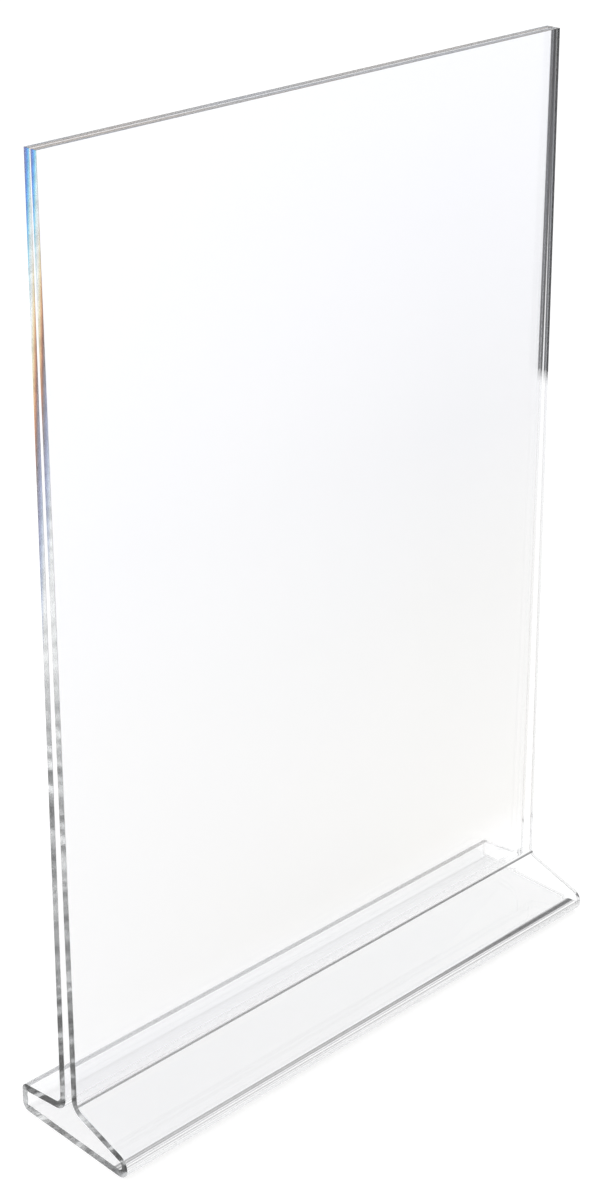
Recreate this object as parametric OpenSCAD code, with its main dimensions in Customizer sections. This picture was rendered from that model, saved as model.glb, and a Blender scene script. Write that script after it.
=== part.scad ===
// Clear acrylic sign stand with an upright display slot for a portrait sheet.
// One strip of sheet is bent along heated lines into an upside-down T. From the
// front panel's top edge it runs down the panel, out along the front leg, round
// the nose, back under the base, round the heel, in along the rear leg and up
// the rear panel. Each flat run and each heated bend zone is a node of its own.
// X runs across the stand, Y from front to rear and Z up. The origin is on the
// table, in the middle of the base.

/* [Display] */
// Width of the strip, the width of the sheet on show
stand_width = 210; // [148:1:297]
// Height of the panels' top edges above the table
stand_height = 313; // [226:1:436]

/* [Sheet] */
// Thickness of the acrylic sheet
sheet = 2.5; // [2:0.5:4]
// Gap between the panels where the slot starts
slot_foot = 3; // [1:0.1:3.5]
// Gap between the panels at their top edges, where they pinch the sign
slot_mouth = 0.3; // [0.2:0.1:1]

/* [Front of base] */
// From the slot's centre to the tip of the nose
front_reach = 27; // [25:1:45]
// Rise of the front leg towards the panel, in degrees
front_rise = 17; // [8:0.5:20]
// Inner radius of the nose
nose_radius = 1.6; // [1:0.1:4]
// Radius of the hollow between the front leg and the panel
front_hollow = 3; // [1:0.1:5]

/* [Rear of base] */
// From the slot's centre to the rearmost face
rear_reach = 23; // [20:1:45]
// Rise of the rear leg towards the panel, in degrees
rear_rise = 7; // [5:0.5:12]
// Inner radius of the two tight bends of the heel
heel_radius = 0.2; // [0.2:0.1:1]
// Height of the upright stretch between the two bends of the heel
heel_rise = 4.4; // [1:0.1:6]
// Radius of the hollow between the rear leg and the panel
rear_hollow = 2.8; // [1:0.1:5]

/* [Hidden] */
$fn = 96;
clear_tint = [0.93, 0.95, 0.97, 0.45];

// The base reaches further forwards, so its middle is in front of the slot.
slot_y = (front_reach - rear_reach) / 2;

// One side of the base in its own profile plane: u points away from the slot and
// v points up. A side is [reach, rise, tip radius, tip wall, hollow radius].
front_side = [front_reach, front_rise, nose_radius, 0, front_hollow];
rear_side = [rear_reach, rear_rise, heel_radius, heel_rise, rear_hollow];

function reach(side) = side[0];
function rise(side) = side[1];
function tip_radius(side) = side[2];
function tip_wall(side) = side[3];
function hollow(side) = side[4];

// Centre of the tip's lower bend, and of its upper bend.
function low_centre(side) = [reach(side) - tip_radius(side) - sheet, tip_radius(side) + sheet];
function high_centre(side) = low_centre(side) + [0, tip_wall(side)];

// Centre of the bend between leg and panel. It sits in the open corner above the
// leg, where the leg's upper face and the panel's outer face are both tangent.
function bend_u(side) = slot_foot / 2 + hollow(side) + sheet;
function tip_to_bend(side) = tip_radius(side) + sheet + hollow(side);
function leg_length(side) =
    (high_centre(side)[0] + tip_to_bend(side) * sin(rise(side)) - bend_u(side)) / cos(rise(side));
function bend_v(side) =
    high_centre(side)[1] + tip_to_bend(side) * cos(rise(side)) + leg_length(side) * sin(rise(side));
function bend_centre(side) = [bend_u(side), bend_v(side)];

// Each panel leans inwards a little, so the slot narrows from foot to mouth.
function panel_length(side) = stand_height - bend_v(side);
function panel_lean(side) = atan((slot_foot - slot_mouth) / 2 / panel_length(side));

// Carries a profile from the u-v plane across the stand: u becomes +Y, or -Y for
// the front, v becomes Z, and the height of the extrusion runs along X.
module across(towards = 1)
    translate([-stand_width / 2, slot_y, 0])
        mirror([0, towards < 0 ? 1 : 0, 0])
            rotate([90, 0, 90])
                children();

// A flat run of the sheet, with its near corner at the local origin.
module flat_run(length) cube([length, sheet, stand_width]);

// A bend of the sheet around the local origin, from one angle to another.
module bend_run(inner_radius, from, to)
    rotate([0, 0, from])
        rotate_extrude(angle = to - from)
            translate([inner_radius, 0])
                square([sheet, stand_width]);

module upright(side)
    translate(bend_centre(side))
        rotate([0, 0, panel_lean(side)])
            translate([-hollow(side) - sheet, 0, 0])
                cube([sheet, panel_length(side), stand_width]);

module panel_bend(side)
    translate(bend_centre(side))
        bend_run(hollow(side), 180 + panel_lean(side), 270 - rise(side));

module leg(side)
    translate(high_centre(side))
        rotate([0, 0, 180 - rise(side)])
            translate([0, -tip_radius(side) - sheet, 0])
                flat_run(leg_length(side));

module tip_lower(side)
    translate(low_centre(side))
        bend_run(tip_radius(side), -90, 0);

module tip_upper(side)
    translate(high_centre(side))
        bend_run(tip_radius(side), 0, 90 - rise(side));

module front_panel() color(clear_tint) across(-1) upright(front_side);
module front_bend() color(clear_tint) across(-1) panel_bend(front_side);
module front_leg() color(clear_tint) across(-1) leg(front_side);
module nose_upper() color(clear_tint) across(-1) tip_upper(front_side);
module nose_lower() color(clear_tint) across(-1) tip_lower(front_side);
module rear_panel() color(clear_tint) across() upright(rear_side);
module rear_bend() color(clear_tint) across() panel_bend(rear_side);
module rear_leg() color(clear_tint) across() leg(rear_side);
module heel_upper_bend() color(clear_tint) across() tip_upper(rear_side);
module heel_lower_bend() color(clear_tint) across() tip_lower(rear_side);

// The short upright stretch between the two bends of the heel.
module heel_wall()
    color(clear_tint)
        across()
            translate(low_centre(rear_side) + [heel_radius, 0])
                cube([sheet, heel_rise, stand_width]);

// The flat underside that rests on the table, from nose to heel.
module base_plate()
    color(clear_tint)
        across()
            translate([-low_centre(front_side)[0], 0, 0])
                flat_run(low_centre(front_side)[0] + low_centre(rear_side)[0]);

front_panel();
front_bend();
front_leg();
nose_upper();
nose_lower();
base_plate();
heel_lower_bend();
heel_wall();
heel_upper_bend();
rear_leg();
rear_bend();
rear_panel();
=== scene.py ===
"""Looks for a clear acrylic table-top sign stand.

The stand is one strip of clear cast sheet, bent along heated lines into an upside-down T. The strip
is swept along its own centreline, so it is a single closed body with no seams inside the clear
material, and it stands for all of the flat runs and bend zones of the frame. Its polished faces, its
sawn ends and its trimmed top edges are three finishes of the same sheet. Their colours also carry
painted light: painted shade at the bends, the ends, the right margin and the top edges, a painted
lean in tone on the panels, and a painted colour fringe of split light on the left end.
"""

from __future__ import annotations

import logging
import math
from dataclasses import dataclass, field
from enum import Enum

import bpy
from bpy.types import Material, Node, NodeSocket, NodeTree, Object
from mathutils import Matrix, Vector

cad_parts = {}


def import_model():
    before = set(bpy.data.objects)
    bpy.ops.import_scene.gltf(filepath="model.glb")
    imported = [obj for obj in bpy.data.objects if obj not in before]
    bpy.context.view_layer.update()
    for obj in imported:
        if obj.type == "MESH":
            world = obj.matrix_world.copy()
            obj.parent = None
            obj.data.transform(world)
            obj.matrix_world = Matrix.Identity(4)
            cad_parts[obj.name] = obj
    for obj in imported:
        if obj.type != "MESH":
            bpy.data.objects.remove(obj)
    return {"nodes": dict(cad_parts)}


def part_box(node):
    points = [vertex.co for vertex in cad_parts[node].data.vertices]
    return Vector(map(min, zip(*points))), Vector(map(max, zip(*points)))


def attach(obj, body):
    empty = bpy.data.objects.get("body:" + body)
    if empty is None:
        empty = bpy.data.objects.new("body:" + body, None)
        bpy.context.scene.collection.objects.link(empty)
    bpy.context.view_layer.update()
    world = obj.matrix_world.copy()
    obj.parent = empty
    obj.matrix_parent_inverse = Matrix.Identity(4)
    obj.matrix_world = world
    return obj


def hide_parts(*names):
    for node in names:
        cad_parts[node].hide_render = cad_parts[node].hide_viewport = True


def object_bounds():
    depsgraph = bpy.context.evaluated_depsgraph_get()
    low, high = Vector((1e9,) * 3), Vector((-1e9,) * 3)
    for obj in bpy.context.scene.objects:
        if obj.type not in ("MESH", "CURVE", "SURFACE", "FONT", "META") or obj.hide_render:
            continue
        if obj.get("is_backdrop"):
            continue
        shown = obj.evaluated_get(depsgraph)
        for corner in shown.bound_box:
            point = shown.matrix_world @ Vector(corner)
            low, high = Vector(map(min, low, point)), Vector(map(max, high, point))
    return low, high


logging.basicConfig(level=logging.INFO, format="%(message)s")
log = logging.getLogger("sign_stand")

MM = 0.001
SLOT_Y = 2.0 * MM

Colour = tuple[float, float, float]
WHITE: Colour = (1.0, 1.0, 1.0)


class Side(Enum):
    """The two sides of the base, with the sign of Y that each one faces."""

    FRONT = -1
    REAR = 1


class Attr(Enum):
    """Named attributes that the strip's mesh carries for its finishes and its painted shade."""

    ALONG = "along"
    HEAT = "heat"
    DULL_AND_SHADE = "dull_and_shade"


# ---------------------------------------------------------------- node helpers


@dataclass
class Nodes:
    """A small builder for node trees.

    Attributes:
        tree: The tree that the nodes go into.
    """

    tree: NodeTree

    def add(self, kind: str, settings: dict | None = None, **inputs: object) -> Node:
        """Adds a node, sets its properties, and fills its inputs.

        Args:
            kind: The node's bl_idname.
            settings: Node properties by name, such as a math node's operation.
            **inputs: Input values or sockets. A name's underscores stand for spaces, and a name such
                as i0 or i1 is a position.

        Returns:
            The new node.
        """
        node = self.tree.nodes.new(kind)
        for name, value in (settings or {}).items():
            setattr(node, name, value)
        for name, value in inputs.items():
            by_position = name[0] == "i" and name[1:].isdigit()
            socket = node.inputs[int(name[1:])] if by_position else node.inputs[name.replace("_", " ")]
            if isinstance(value, NodeSocket):
                self.tree.links.new(value, socket)
            else:
                socket.default_value = value
        return node

    def math(self, operation: str, *values: object) -> NodeSocket:
        """Adds a math node and returns its result.

        Args:
            operation: The operation's name.
            *values: Numbers or sockets, in the order of the node's inputs.

        Returns:
            The output socket.
        """
        inputs = {f"i{place}": value for place, value in enumerate(values)}
        return self.add("ShaderNodeMath", {"operation": operation}, **inputs).outputs[0]

    def remap(
        self, value: NodeSocket, low: float, high: float, start: float = 0.0, end: float = 1.0
    ) -> NodeSocket:
        """Maps low..high of a value to start..end, clamped, and returns the result."""
        node = self.add("ShaderNodeMapRange", None, i0=value, i1=low, i2=high, i3=start, i4=end)
        return node.outputs[0]

    def stretch(self, place: NodeSocket, scale: tuple[float, float, float]) -> NodeSocket:
        """Scales a place along each axis, for a pattern that is finer one way than the other."""
        return self.add("ShaderNodeMapping", None, Vector=place, Scale=scale).outputs[0]

    def attribute(self, name: Attr) -> NodeSocket:
        """Reads one of the strip's own attributes."""
        return self.add("ShaderNodeAttribute", {"attribute_name": name.value}).outputs["Fac"]

    def ramp(self, value: NodeSocket, stops: dict[float, Colour]) -> NodeSocket:
        """Adds a colour ramp.

        Args:
            value: The ramp's factor.
            stops: Linear colours by position.

        Returns:
            The colour output.
        """
        node = self.add("ShaderNodeValToRGB", None, i0=value)
        elements = node.color_ramp.elements
        while len(elements) > 1:
            elements.remove(elements[-1])
        for place, (position, colour) in enumerate(stops.items()):
            element = elements[0] if place == 0 else elements.new(position)
            element.position = position
            element.color = (*colour, 1.0)
        return node.outputs[0]

    def noise(
        self, vector: NodeSocket, scale: float, detail: float = 2.0, roughness: float = 0.5
    ) -> NodeSocket:
        """Adds a noise texture and returns its factor."""
        node = self.add(
            "ShaderNodeTexNoise", None, Vector=vector, Scale=scale, Detail=detail, Roughness=roughness
        )
        return node.outputs["Fac"]

    def mix(self, factor: object, first: object, second: object, blend: str = "MIX") -> NodeSocket:
        """Mixes two colours and returns the result."""
        node = self.add("ShaderNodeMix", {"data_type": "RGBA", "blend_type": blend})
        for socket, value in ((node.inputs[0], factor), (node.inputs[6], first), (node.inputs[7], second)):
            if isinstance(value, NodeSocket):
                self.tree.links.new(value, socket)
            elif isinstance(value, tuple):
                socket.default_value = (*value, 1.0)
            else:
                socket.default_value = value
        return node.outputs[2]


# ---------------------------------------------------------------- finishes


@dataclass(frozen=True)
class ClearSheet:
    """What every finish of the clear cast sheet shares.

    Attributes:
        refraction: Index of refraction of the acrylic.
        tint: Colour that a long way through the sheet leans to.
        density: How strongly the sheet takes light on its way, per metre.
    """

    refraction: float = 1.491
    tint: Colour = (0.80, 0.82, 0.83)
    density: float = 3.0

    def start(self, name: str) -> tuple[Material, Nodes, Node]:
        """Makes a clear material whose colour, roughness and normal are still to be set.

        Args:
            name: The material's name.

        Returns:
            The material, its node builder and its shader node.
        """
        material = bpy.data.materials.new(name)
        material.use_nodes = True
        nodes = Nodes(material.node_tree)
        nodes.tree.nodes.clear()
        shader = nodes.add("ShaderNodeBsdfPrincipled", None, IOR=self.refraction, Transmission_Weight=1.0)
        absorb = nodes.add("ShaderNodeVolumeAbsorption", None, Color=(*self.tint, 1.0), Density=self.density)
        nodes.add("ShaderNodeOutputMaterial", None, Surface=shader.outputs[0], Volume=absorb.outputs[0])
        return material, nodes, shader

    @staticmethod
    def dress(
        nodes: Nodes, shader: Node, colour: NodeSocket, roughness: NodeSocket, height: NodeSocket,
        strength: float, distance: float,
    ) -> None:
        """Links a finish's colour, roughness and relief to its shader.

        Args:
            nodes: The material's node builder.
            shader: The material's shader node.
            colour: The colour that the surface lets through.
            roughness: The surface's roughness.
            height: The relief, from 0 to 1.
            strength: How strongly the relief shows.
            distance: How deep the relief is, in metres.
        """
        bump = nodes.add("ShaderNodeBump", None, Strength=strength, Distance=distance, Height=height)
        for name, socket in (("Base Color", colour), ("Roughness", roughness), ("Normal", bump.outputs[0])):
            nodes.tree.links.new(socket, shader.inputs[name])


@dataclass(frozen=True)
class PolishedFace(ClearSheet):
    """The sheet's glossy cast faces, with faint ripples at the bends, fine scratches and smudges.

    Their dark lines at the bends, dark right margin and lean in tone by height are painted shade and light.

    Attributes:
        name: The material's name.
        panel_top: Height of the panels' top edges.
        half_width: Half the strip's width.
        front_crease: Distance along the strip of the painted dark line in the front bend.
        nose_lines: Distances along the strip of the two painted dark lines round the nose.
        line_reach: How far a line fades to each side.
        margin_start: Distance from the middle where the panels' painted dark right margin starts.
        margin_foot: Height where that margin starts.
        painted_shade_tone: Painted shade colour that the lines and the margin let through.
        left_painted_light: Painted light that the panels lean to on the left.
    """

    name: str = "polished_acrylic_face"
    panel_top: float = 313.0 * MM
    half_width: float = 105.0 * MM
    front_crease: float = 299.0 * MM
    nose_lines: tuple[float, float] = (327.2 * MM, 330.3 * MM)
    line_reach: float = 0.8 * MM
    margin_start: float = 103.8 * MM
    margin_foot: float = 193.0 * MM
    painted_shade_tone: Colour = (0.01, 0.01, 0.012)
    left_painted_light: Colour = (0.975, 0.975, 0.982)

    def painted_bend_shade_lines(self, nodes: Nodes, across: NodeSocket) -> NodeSocket:
        """Paints the thin dark lines that run along the front crease and round the nose, as painted shade.

        Args:
            nodes: The material's node builder.
            across: The place from left to right.

        Returns:
            How strong the lines are, from 0 to 1.
        """
        along = nodes.attribute(Attr.ALONG)

        def line(centre: float, strength: float, narrowing: object) -> NodeSocket:
            """Draws one line, whose reach is divided by the narrowing."""
            off = nodes.math("ABSOLUTE", nodes.math("SUBTRACT", along, centre))
            off = nodes.math("MULTIPLY", off, narrowing)
            return nodes.remap(off, 0.25 * self.line_reach, self.line_reach, strength, 0.0)

        upper, lower = self.nose_lines
        thick_at_right = nodes.remap(across, 30 * MM, 80 * MM, 1.0, 0.4)
        nose = nodes.math("MAXIMUM", line(upper, 0.8, 1.0), line(lower, 0.98, thick_at_right))
        lines = nodes.math("MAXIMUM", nose, line(self.front_crease, 0.8, 1.3))
        return nodes.math("MULTIPLY", lines, nodes.remap(across, -60 * MM, 60 * MM, 0.85, 1.0))

    def painted_right_margin_shade(self, nodes: Nodes, across: NodeSocket, up: NodeSocket) -> NodeSocket:
        """Paints a dark margin at the upper right of the panels, as painted shade where the end shuts the
        light out.

        Args:
            nodes: The material's node builder.
            across: The place from left to right.
            up: The height above the table.

        Returns:
            How strong the margin is, from 0 to 1.
        """
        sideways = nodes.remap(across, self.margin_start, self.margin_start + 0.3 * MM)
        upwards = nodes.remap(up, self.margin_foot, self.margin_foot + 5 * MM)
        return nodes.math("MULTIPLY", sideways, upwards)

    def tone(self, nodes: Nodes, on_sheet: NodeSocket, across: NodeSocket, up: NodeSocket) -> NodeSocket:
        """Paints the panels a little greyer than the base: cool at the top, warm at the foot and lighter on
        the left. This lean is painted light and shade; only the faint cool patches vary at random.

        Args:
            nodes: The material's node builder.
            on_sheet: The place on the sheet, laid flat.
            across: The place from left to right.
            up: The height above the table.

        Returns:
            The colour that the face lets through.
        """
        # Painted light and shade by height: near white on the base, greyer on the panels, cooler and lighter
        # at their top.
        lean = nodes.ramp(nodes.math("DIVIDE", up, self.panel_top), {
            0.06: (0.996, 0.996, 0.996),
            0.12: (0.930, 0.925, 0.915),
            0.42: (0.905, 0.903, 0.900),
            0.6: (0.900, 0.900, 0.908),
            0.8: (0.925, 0.926, 0.940),
            1.0: (0.945, 0.948, 0.965),
        })
        # Painted light: the panels lighten towards the left end.
        leftwards = nodes.remap(across, -self.half_width, 60 * MM, 0.55, 0.0)
        lean = nodes.mix(leftwards, lean, self.left_painted_light)
        cool = nodes.remap(nodes.noise(on_sheet, 9.0, 2.0), 0.3, 0.7)
        return nodes.mix(cool, lean, nodes.mix(1.0, lean, (0.994, 0.996, 1.0), "MULTIPLY"))

    def make(self) -> Material:
        """Makes the material.

        Returns:
            The finished material.
        """
        material, nodes, shader = self.start(self.name)
        place = nodes.add("ShaderNodeTexCoord").outputs["Object"]
        across, _, up = nodes.add("ShaderNodeSeparateXYZ", None, Vector=place).outputs
        along = nodes.attribute(Attr.ALONG)
        on_sheet = nodes.add("ShaderNodeCombineXYZ", None, X=across, Y=along).outputs[0]

        smudge = nodes.remap(nodes.noise(on_sheet, 22.0, 4.0, 0.6), 0.52, 0.8, 0.0, 0.02)
        rubbed = nodes.stretch(on_sheet, (6.0, 900.0, 1.0))
        hairline = nodes.remap(nodes.noise(rubbed, 1.0, 3.0, 0.7), 0.66, 0.75, 0.0, 0.10)
        rough = nodes.math("ADD", smudge, nodes.math("MULTIPLY", hairline, 0.4))

        # Painted shade: dark lines at the bends and a dark margin at the upper right of the panels.
        dark = nodes.math("MAXIMUM", self.painted_bend_shade_lines(nodes, across), self.painted_right_margin_shade(nodes, across, up))
        dark = nodes.mix(dark, WHITE, self.painted_shade_tone)
        colour = nodes.mix(1.0, self.tone(nodes, on_sheet, across, up), dark, "MULTIPLY")

        wave = nodes.noise(on_sheet, 14.0, 1.0)
        ripple = nodes.noise(nodes.stretch(on_sheet, (40.0, 160.0, 1.0)), 1.0, 1.0)
        ripple = nodes.math("MULTIPLY", ripple, nodes.attribute(Attr.HEAT))
        height = nodes.math("ADD", nodes.math("MULTIPLY", wave, 0.05), nodes.math("MULTIPLY", ripple, 0.12))
        self.dress(nodes, shader, colour, rough, height, 0.5, 0.4 * MM)
        return material


@dataclass(frozen=True)
class SawnEnd(ClearSheet):
    """The sawn ends of the strip, left and right: slanting saw marks over a dulled clear surface.

    Their darkness is painted shade over the saw's dullness, warmer in the bends.

    Attributes:
        name: The material's name.
        slant: How far the saw marks lean from the horizontal.
        slot_y: Place of the slot's middle from front to rear.
        slot_reach: How far from the slot's middle the fringe still shifts.
        fringe_slope: How steeply the fringe runs across a sheet.
        fringe_step: How far the fringe is shifted, down on the rear sheet and up on the front one.
        fringe_foot: Where the fringe starts, along itself.
        fringe_head: Where the fringe ends, along itself.
        dark: Painted shade colour that a dulled stretch lets through.
        warm_bend_shade: Warmer painted shade colour that a dulled stretch in a heated bend lets through.
    """

    name: str = "sawn_acrylic_end"
    slant: float = math.radians(38)
    slot_y: float = SLOT_Y
    slot_reach: float = 6.0 * MM
    fringe_slope: float = 14.0
    fringe_step: float = 18.0 * MM
    fringe_foot: float = 180.0 * MM
    fringe_head: float = 330.0 * MM
    dark: Colour = (0.03, 0.03, 0.03)
    warm_bend_shade: Colour = (0.10, 0.045, 0.035)

    def fringe(self, nodes: Nodes, place: NodeSocket) -> NodeSocket:
        """Paints a colour fringe near the top of the left end, slanting across each sheet, as painted light
        split into colours.

        Args:
            nodes: The material's node builder.
            place: The place on the stand.

        Returns:
            The colour that the end lets through.
        """
        across, back, up = nodes.add("ShaderNodeSeparateXYZ", None, Vector=place).outputs
        reach = self.slot_reach
        from_slot = nodes.remap(nodes.math("SUBTRACT", back, self.slot_y), -reach, reach, -reach, reach)
        step = nodes.remap(from_slot, -0.1 * MM, 0.1 * MM, self.fringe_step, -self.fringe_step)
        level = nodes.math("ADD", nodes.math("MULTIPLY_ADD", from_slot, self.fringe_slope, up), step)
        # Painted split light: bands of white, blue, grey, tan, white, cyan and blue.
        colour = nodes.ramp(nodes.remap(level, self.fringe_foot, self.fringe_head), {
            0.05: WHITE,
            0.17: (0.60, 0.67, 0.82),
            0.28: (0.36, 0.38, 0.56),
            0.38: (0.31, 0.29, 0.31),
            0.45: (0.44, 0.19, 0.13),
            0.51: (0.86, 0.47, 0.25),
            0.58: (0.95, 0.84, 0.55),
            0.66: WHITE,
            0.75: (0.75, 0.96, 1.0),
            0.80: (0.31, 0.78, 1.0),
            0.87: (0.12, 0.38, 1.0),
            0.95: (0.22, 0.25, 0.52),
        })
        return nodes.mix(nodes.remap(across, -10 * MM, 10 * MM), colour, WHITE)

    def make(self) -> Material:
        """Makes the material.

        Returns:
            The finished material.
        """
        material, nodes, shader = self.start(self.name)
        place = nodes.add("ShaderNodeTexCoord").outputs["Object"]
        slant = (self.slant, 0.0, 0.0)
        turned = nodes.add("ShaderNodeMapping", None, Vector=place, Rotation=slant).outputs[0]
        band = nodes.noise(nodes.stretch(turned, (1.0, 60.0, 330.0)), 1.0, 2.0)
        band = nodes.remap(band, 0.38, 0.62)
        line = nodes.noise(nodes.stretch(turned, (1.0, 150.0, 2600.0)), 1.0, 2.0)

        # Painted shade: each stretch of the end darkens by its stored dullness, deepest in the saw bands and
        # warmer in the bends.
        dull_and_shade = nodes.attribute(Attr.DULL_AND_SHADE)
        depth = nodes.math("MULTIPLY", dull_and_shade, nodes.remap(band, 0.0, 1.0, 1.3, 0.65))
        depth = nodes.math("MULTIPLY", depth, nodes.remap(band, 0.75, 0.9, 1.0, 0.1))
        depth = nodes.math("ADD", depth, nodes.remap(band, 0.0, 0.6, 0.15, 0.0))
        end_shade_colour = nodes.mix(nodes.math("MULTIPLY", nodes.attribute(Attr.HEAT), dull_and_shade), self.dark, self.warm_bend_shade)
        tone = nodes.mix(nodes.math("MINIMUM", depth, 0.95), self.fringe(nodes, place), end_shade_colour)
        colour = nodes.mix(1.0, tone, tone, "MULTIPLY")
        self.dress(nodes, shader, colour, nodes.remap(line, 0.3, 0.7, 0.02, 0.08), line, 0.15, 0.05 * MM)
        return material


@dataclass(frozen=True)
class TrimmedEdge(ClearSheet):
    """The panels' top edges, planed smooth along their length.

    Their grey is painted shade and their tan and blue runs are painted coloured light.

    Attributes:
        name: The material's name.
        stroke_shade: Painted shade that the planer's deeper strokes lean to.
    """

    name: str = "trimmed_acrylic_edge"
    stroke_shade: Colour = (0.15, 0.15, 0.15)

    def make(self) -> Material:
        """Makes the material.

        Returns:
            The finished material.
        """
        material, nodes, shader = self.start(self.name)
        place = nodes.add("ShaderNodeTexCoord").outputs["Object"]
        stroke = nodes.noise(nodes.stretch(place, (12.0, 4000.0, 1.0)), 1.0, 2.0)
        warm = nodes.noise(nodes.stretch(place, (9.0, 300.0, 0.0)), 1.0)
        # Painted shade and light: grey edges with bluish and tan runs along them.
        tone = nodes.ramp(warm, {
            0.35: (0.14, 0.16, 0.24),
            0.5: (0.18, 0.16, 0.15),
            0.62: (0.26, 0.15, 0.10),
        })
        colour = nodes.mix(nodes.remap(stroke, 0.3, 0.7, 0.0, 0.3), tone, self.stroke_shade)
        self.dress(nodes, shader, colour, nodes.remap(stroke, 0.3, 0.7, 0.05, 0.2), stroke, 0.2, 0.05 * MM)
        return material


# ---------------------------------------------------------------- the bent strip


@dataclass(frozen=True)
class PathPoint:
    """A point of the strip's centreline.

    Attributes:
        y: Place from front to rear, in metres.
        z: Height above the table, in metres.
        heat: 1 inside a heated bend, 0 on a flat run.
        dull_and_shade: How dark the strip's sawn end is there, from 0 to 1: the saw's dullness and painted
            shade.
    """

    y: float
    z: float
    heat: float = 0.0
    dull_and_shade: float = 0.0


@dataclass(frozen=True)
class BaseSide:
    """One side of the T, from the slot out to its tip.

    Lengths are in metres and angles in radians. In its own profile plane, u points away from the
    slot and v points up. The sawn end's dullness and painted shade is given as it enters and leaves
    each bend.

    Attributes:
        side: Which side of the T it is.
        reach: How far the tip reaches from the slot's middle.
        rise: How steeply the leg rises towards the slot.
        tip_radius: Inner radius of the tip's bends.
        tip_wall: Height of the upright wall between the tip's two bends, or 0 where they meet.
        hollow: Inner radius of the bend between leg and panel, on its open side.
        sheet: The sheet's thickness.
        slot_y: Place of the slot's middle from front to rear.
        slot_foot: The slot's width at its foot.
        slot_mouth: The slot's width at its mouth.
        top: Height of the panel's top edge.
        foot_dull_and_shade: Dullness and painted shade of the sawn end round the bend between panel and leg.
        upper_dull_and_shade: Dullness and painted shade of the sawn end round the tip's upper bend.
        lower_dull_and_shade: Dullness and painted shade of the sawn end round the tip's lower bend.
    """

    side: Side
    reach: float
    rise: float
    tip_radius: float
    tip_wall: float
    hollow: float
    sheet: float
    slot_y: float
    slot_foot: float
    slot_mouth: float
    top: float
    foot_dull_and_shade: tuple[float, float]
    upper_dull_and_shade: tuple[float, float]
    lower_dull_and_shade: tuple[float, float]

    @property
    def low_centre(self) -> tuple[float, float]:
        """Centre of the tip's lower bend."""
        return self.reach - self.tip_radius - self.sheet, self.tip_radius + self.sheet

    @property
    def high_centre(self) -> tuple[float, float]:
        """Centre of the tip's upper bend."""
        u, v = self.low_centre
        return u, v + self.tip_wall

    @property
    def bend_centre(self) -> tuple[float, float]:
        """Centre of the bend between leg and panel, in the open corner above the leg."""
        u, v = self.high_centre
        bend_u = self.slot_foot / 2 + self.hollow + self.sheet
        gap = self.tip_radius + self.sheet + self.hollow
        leg = (u + gap * math.sin(self.rise) - bend_u) / math.cos(self.rise)
        return bend_u, v + gap * math.cos(self.rise) + leg * math.sin(self.rise)

    @property
    def lean(self) -> float:
        """Inward lean of the panel, which narrows the slot towards its mouth."""
        return math.atan((self.slot_foot - self.slot_mouth) / 2 / (self.top - self.bend_centre[1]))

    def point(self, u: float, v: float, heat: float = 0.0, dull_and_shade: float = 0.0) -> PathPoint:
        """Puts a point of the profile plane into the stand's own frame."""
        return PathPoint(self.slot_y + self.side.value * u, v, heat, dull_and_shade)

    def arc(
        self, centre: tuple[float, float], radius: float, start: float, end: float, dull_and_shade: tuple[float, float]
    ) -> list[PathPoint]:
        """Points of the centreline round one bend.

        Args:
            centre: The bend's centre in the profile plane.
            radius: Radius of the centreline.
            start: Angle at the first point.
            end: Angle at the last point.
            dull_and_shade: Dullness and painted shade of the sawn end at the first and the last point.

        Returns:
            The points, about three degrees apart.
        """
        steps = max(2, round(abs(end - start) / math.radians(3)))
        points = []
        for step in range(steps + 1):
            share = step / steps
            angle = start + (end - start) * share
            u, v = centre[0] + radius * math.cos(angle), centre[1] + radius * math.sin(angle)
            points.append(self.point(u, v, 1.0, dull_and_shade[0] + (dull_and_shade[1] - dull_and_shade[0]) * share))
        return points

    def path(self) -> list[PathPoint]:
        """The centreline from the panel's top edge to where the tip meets the base plate.

        Returns:
            The points in order.
        """
        half = self.sheet / 2
        middle = self.hollow + half
        u, v = self.bend_centre
        foot_u, foot_v = u - middle * math.cos(self.lean), v - middle * math.sin(self.lean)
        # Dullness and painted shade of the panel's sawn end, darkening towards the foot.
        panel_dull_and_shade = ((self.top - v, 0.0), (85 * MM, 0.05), (45 * MM, 0.5 * self.foot_dull_and_shade[0]))
        panel = [
            self.point(foot_u - run * math.sin(self.lean), foot_v + run * math.cos(self.lean), 0.0, dull_and_shade)
            for run, dull_and_shade in panel_dull_and_shade
        ]
        foot = self.arc((u, v), middle, math.pi + self.lean, 1.5 * math.pi - self.rise, self.foot_dull_and_shade)
        tip = self.tip_radius + half
        upper = self.arc(self.high_centre, tip, math.pi / 2 - self.rise, 0.0, self.upper_dull_and_shade)
        lower = self.arc(self.low_centre, tip, 0.0, -math.pi / 2, self.lower_dull_and_shade)
        if self.tip_wall == 0.0:
            lower = lower[1:]
        return [*panel, *foot, *upper, *lower]


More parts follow.
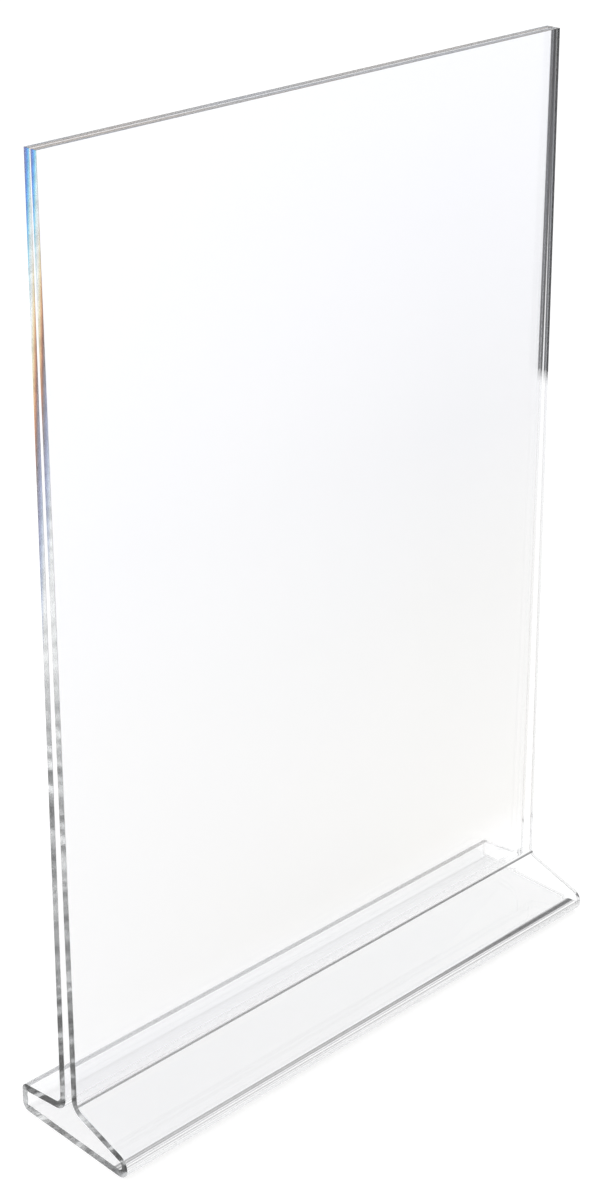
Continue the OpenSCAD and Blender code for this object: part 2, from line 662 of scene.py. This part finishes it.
@dataclass
class BentSheet:
    """The whole stand: one strip of clear sheet, bent into an upside-down T.

    Sizes are in metres. The width, the height and the sheet's thickness come from the frame.

    Attributes:
        width: The strip's width.
        height: The stand's height.
        sheet: The sheet's thickness.
        slot_y: Place of the slot's middle from front to rear.
        slot_foot: The slot's width at its foot.
        slot_mouth: The slot's width at its mouth.
        eased_edge: How far the sharp edges are eased.
        face: Finish of the sheet's faces.
        end: Finish of the strip's sawn ends.
        edge: Finish of the panels' top edges.
    """

    width: float
    height: float
    sheet: float
    slot_y: float
    slot_foot: float = 3.0 * MM
    slot_mouth: float = 0.3 * MM
    eased_edge: float = 0.12 * MM
    face: PolishedFace = field(default_factory=PolishedFace)
    end: SawnEnd = field(default_factory=SawnEnd)
    edge: TrimmedEdge = field(default_factory=TrimmedEdge)

    def side(
        self, side: Side, reach: float, rise: float, tip: float, wall: float, hollow: float,
        *dull_and_shade: tuple[float, float],
    ) -> BaseSide:
        """Describes one side of the T with the strip's shared sizes.

        Args:
            side: Which side it is.
            reach: How far the tip reaches from the slot's middle.
            rise: The leg's rise in degrees.
            tip: Inner radius of the tip's bends.
            wall: Height of the tip's upright wall.
            hollow: Radius on the open side of the bend between leg and panel.
            *dull_and_shade: Dullness and painted shade of the sawn end round the foot, the tip's upper bend
                             and its lower bend.

        Returns:
            The side.
        """
        return BaseSide(
            side, reach, math.radians(rise), tip, wall, hollow,
            self.sheet, self.slot_y, self.slot_foot, self.slot_mouth, self.height, *dull_and_shade,
        )

    def centreline(self) -> list[PathPoint]:
        """The strip's centreline, from the front panel's top edge to the rear panel's.

        Returns:
            The points in order.
        """
        # The last three pairs give the sawn end's dullness and painted shade round the foot and the tip's
        # two bends.
        front = self.side(
            Side.FRONT, 27 * MM, 17, 1.6 * MM, 0.0, 3 * MM, (0.8, 0.0), (1.0, 0.9), (0.9, 0.45)
        )
        rear = self.side(
            Side.REAR, 23 * MM, 7, 0.2 * MM, 4.4 * MM, 2.8 * MM, (0.8, 0.9), (0.85, 0.1), (0.1, 0.5)
        )
        return [*front.path(), *reversed(rear.path())]

    def path_object(self) -> Object:
        """Makes the centreline as a chain of edges that carries the heat, and the sawn end's dullness and
        painted shade, of each point.
        """
        points = self.centreline()
        mesh = bpy.data.meshes.new("centreline")
        mesh.from_pydata(
            [(0.0, point.y, point.z) for point in points],
            [(place, place + 1) for place in range(len(points) - 1)],
            [],
        )
        for attr in (Attr.HEAT, Attr.DULL_AND_SHADE):
            layer = mesh.attributes.new(attr.value, "FLOAT", "POINT")
            layer.data.foreach_set("value", [getattr(point, attr.value) for point in points])
        path = bpy.data.objects.new("centreline", mesh)
        bpy.context.collection.objects.link(path)
        return path

    def sweep_tree(self, face: Material, end: Material, edge: Material) -> NodeTree:
        """Builds the node tree that sweeps the sheet's section along the centreline.

        Args:
            face: Finish of the sheet's faces.
            end: Finish of the ends that look along X.
            edge: Finish of the panels' top edges.

        Returns:
            The tree, with inputs for the width, the thickness and the height where trimming starts.
        """
        tree = bpy.data.node_groups.new("sweep_strip", "GeometryNodeTree")
        sockets = tree.interface
        sockets.new_socket("Centreline", in_out="INPUT", socket_type="NodeSocketGeometry")
        for name in ("Strip Width", "Sheet Thickness", "Trim Height"):
            sockets.new_socket(name, in_out="INPUT", socket_type="NodeSocketFloat")
        sockets.new_socket("Strip", in_out="OUTPUT", socket_type="NodeSocketGeometry")
        nodes = Nodes(tree)
        source = nodes.add("NodeGroupInput")
        line = nodes.add("GeometryNodeMeshToCurve", None, Mesh=source.outputs["Centreline"])
        distance = nodes.add("GeometryNodeSplineParameter").outputs["Length"]
        marked = nodes.add(
            "GeometryNodeStoreNamedAttribute", {"data_type": "FLOAT", "domain": "POINT"},
            Geometry=line.outputs[0], Name=Attr.ALONG.value, Value=distance,
        )
        section = nodes.add(
            "GeometryNodeCurvePrimitiveQuadrilateral", None,
            Width=source.outputs["Strip Width"], Height=source.outputs["Sheet Thickness"],
        )
        swept = nodes.add(
            "GeometryNodeCurveToMesh", None,
            Curve=marked.outputs[0], Profile_Curve=section.outputs[0], Fill_Caps=True,
        )
        normal = nodes.add("GeometryNodeInputNormal").outputs[0]
        place = nodes.add("GeometryNodeInputPosition").outputs[0]
        sideways, _, upwards = nodes.add("ShaderNodeSeparateXYZ", None, Vector=normal).outputs
        height = nodes.add("ShaderNodeSeparateXYZ", None, Vector=place).outputs[2]
        looks_sideways = nodes.math("GREATER_THAN", nodes.math("ABSOLUTE", sideways), 0.7)
        at_top = nodes.math("GREATER_THAN", height, source.outputs["Trim Height"])
        looks_up = nodes.math("GREATER_THAN", upwards, 0.7)
        trimmed = nodes.math("MULTIPLY", at_top, looks_up)
        dressed = nodes.add("GeometryNodeSetMaterial", None, Geometry=swept.outputs[0], Material=face)
        sawn = nodes.add(
            "GeometryNodeSetMaterial", None,
            Geometry=dressed.outputs[0], Selection=looks_sideways, Material=end,
        )
        real = nodes.add("GeometryNodeRealizeInstances", None, Geometry=sawn.outputs[0])
        topped = nodes.add(
            "GeometryNodeSetMaterial", None, Geometry=real.outputs[0], Selection=trimmed, Material=edge
        )
        nodes.add("NodeGroupOutput", None, Strip=topped.outputs[0])
        return tree

    def build(self) -> Object:
        """Sweeps the strip, eases its edges and makes it one plain mesh.

        Returns:
            The finished piece.
        """
        path = self.path_object()
        tree = self.sweep_tree(self.face.make(), self.end.make(), self.edge.make())
        sweep = path.modifiers.new("sweep", "NODES")
        sweep.node_group = tree
        values = {
            "Strip Width": self.width,
            "Sheet Thickness": self.sheet,
            "Trim Height": self.height - 1 * MM,
        }
        for item in tree.interface.items_tree:
            if item.in_out == "INPUT" and item.name in values:
                sweep[item.identifier] = values[item.name]
        ease = path.modifiers.new("eased_edges", "BEVEL")
        ease.width = self.eased_edge
        ease.segments = 3
        ease.limit_method = "ANGLE"
        ease.angle_limit = math.radians(50)
        even = path.modifiers.new("even_normals", "WEIGHTED_NORMAL")
        even.keep_sharp = False
        mesh = self.evaluated(path)
        bpy.data.objects.remove(path)
        piece = bpy.data.objects.new("bent_acrylic_sheet", mesh)
        bpy.context.collection.objects.link(piece)
        return piece

    @staticmethod
    def evaluated(source: Object) -> bpy.types.Mesh:
        """Turns an object with modifiers into a plain mesh with all its attributes."""
        graph = bpy.context.evaluated_depsgraph_get()
        return bpy.data.meshes.new_from_object(
            source.evaluated_get(graph), preserve_all_data_layers=True, depsgraph=graph
        )


# ---------------------------------------------------------------- the studio


@dataclass(frozen=True)
class StudioCamera:
    """A camera on a level tripod, with its back shifted to keep uprights in the frame.

    Attributes:
        place: Where the camera stands, in metres.
        heading: Turn from +Y towards +X, in radians.
        pitch: Angle below the horizon, in radians.
        lens: Focal length for a sensor whose width spans the long side.
        shift: Vertical shift, in lengths of the long side.
    """

    place: tuple[float, float, float] = (-0.4886, -0.4937, 0.4816)
    heading: float = math.radians(44.22)
    pitch: float = math.radians(20.98)
    lens: float = 73.94
    shift: float = -0.1667

    def build(self) -> Object:
        """Makes the camera the scene's own."""
        data = bpy.data.cameras.new("studio_camera")
        data.lens = self.lens
        data.sensor_width = 36.0
        data.sensor_fit = "AUTO"
        data.shift_y = self.shift
        data.clip_start = 0.01
        data.clip_end = 50.0
        camera = bpy.data.objects.new("studio_camera", data)
        camera.location = self.place
        camera.rotation_euler = (math.pi / 2 - self.pitch, 0.0, -self.heading)
        bpy.context.collection.objects.link(camera)
        bpy.context.scene.camera = camera
        return camera


@dataclass(frozen=True)
class Studio:
    """A plain pale floor under soft light from all round.

    Attributes:
        floor_half: Half the floor's width, in metres.
        near_glow: The floor's own light close to the stand.
        far_glow: The floor's own light far from it.
        floor_tone: How pale the floor is, besides its own light.
        floor_gap: How far the floor lies below the stand, so that their faces don't meet.
        glow: The room's light.
        most_bounces: How often light may meet a surface, enough to run the whole width inside the sheet.
    """

    floor_half: float = 6.0
    near_glow: float = 0.80
    far_glow: float = 0.78
    floor_tone: float = 0.32
    floor_gap: float = 0.2 * MM
    glow: float = 1.04
    most_bounces: int = 128

    def build(self) -> None:
        """Makes the floor and the light, and lets light run through the sheet."""
        self.light()
        self.floor()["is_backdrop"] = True
        scene = bpy.context.scene
        scene.view_settings.view_transform = "Standard"
        for limit in ("max_bounces", "transmission_bounces", "glossy_bounces"):
            setattr(scene.cycles, limit, self.most_bounces)

    def light(self) -> None:
        """Lights the whole room softly, a little brighter from above."""
        world = bpy.data.worlds.new("soft_room")
        bpy.context.scene.world = world
        world.use_nodes = True
        world.cycles.sampling_method = "NONE"
        nodes = Nodes(world.node_tree)
        nodes.tree.nodes.clear()
        way = nodes.add("ShaderNodeTexCoord").outputs["Generated"]
        up = nodes.add("ShaderNodeSeparateXYZ", None, Vector=way).outputs[2]
        tone = nodes.ramp(up, {0.0: (0.92, 0.93, 0.945), 0.25: (0.96, 0.97, 0.98), 0.6: WHITE})
        glow = nodes.add("ShaderNodeBackground", None, Color=tone, Strength=self.glow)
        nodes.add("ShaderNodeOutputWorld", None, Surface=glow.outputs[0])

    def floor(self) -> Object:
        """Makes the pale floor that the stand rests on."""
        half = self.floor_half
        corners = [(-half, -half, 0), (half, -half, 0), (half, half, 0), (-half, half, 0)]
        mesh = bpy.data.meshes.new("floor")
        mesh.from_pydata(corners, [], [(0, 1, 2, 3)])
        material = bpy.data.materials.new("pale_sweep")
        material.use_nodes = True
        material.cycles.emission_sampling = "NONE"
        nodes = Nodes(material.node_tree)
        nodes.tree.nodes.clear()
        place = nodes.add("ShaderNodeTexCoord").outputs["Object"]
        away = nodes.add("ShaderNodeVectorMath", {"operation": "LENGTH"}, i0=place).outputs["Value"]
        own_light = nodes.remap(away, 0.3, 0.9, self.near_glow, self.far_glow)
        shader = nodes.add(
            "ShaderNodeBsdfPrincipled", None,
            Base_Color=(self.floor_tone, self.floor_tone, self.floor_tone, 1.0),
            Roughness=0.9, Specular_IOR_Level=0.0,
            Emission_Color=(*WHITE, 1.0), Emission_Strength=own_light,
        )
        nodes.add("ShaderNodeOutputMaterial", None, Surface=shader.outputs[0])
        mesh.materials.append(material)
        floor = bpy.data.objects.new("floor", mesh)
        floor.location.z = -self.floor_gap
        bpy.context.collection.objects.link(floor)
        return floor


def main() -> None:
    """Builds the stand on its frame, and the studio around it."""
    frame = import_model()
    cad_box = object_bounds()
    low, high = cad_box
    plate_low, plate_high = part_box("base_plate")
    StudioCamera().build()
    sheet = BentSheet(
        width=high.x - low.x,
        height=high.z,
        sheet=plate_high.z - plate_low.z,
        slot_y=SLOT_Y,
    )
    piece = sheet.build()
    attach(piece, "root")
    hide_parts(*frame["nodes"])
    log.info("%s: %d faces", piece.name, len(piece.data.polygons))
    Studio().build()


if __name__ == "__main__":
    main()
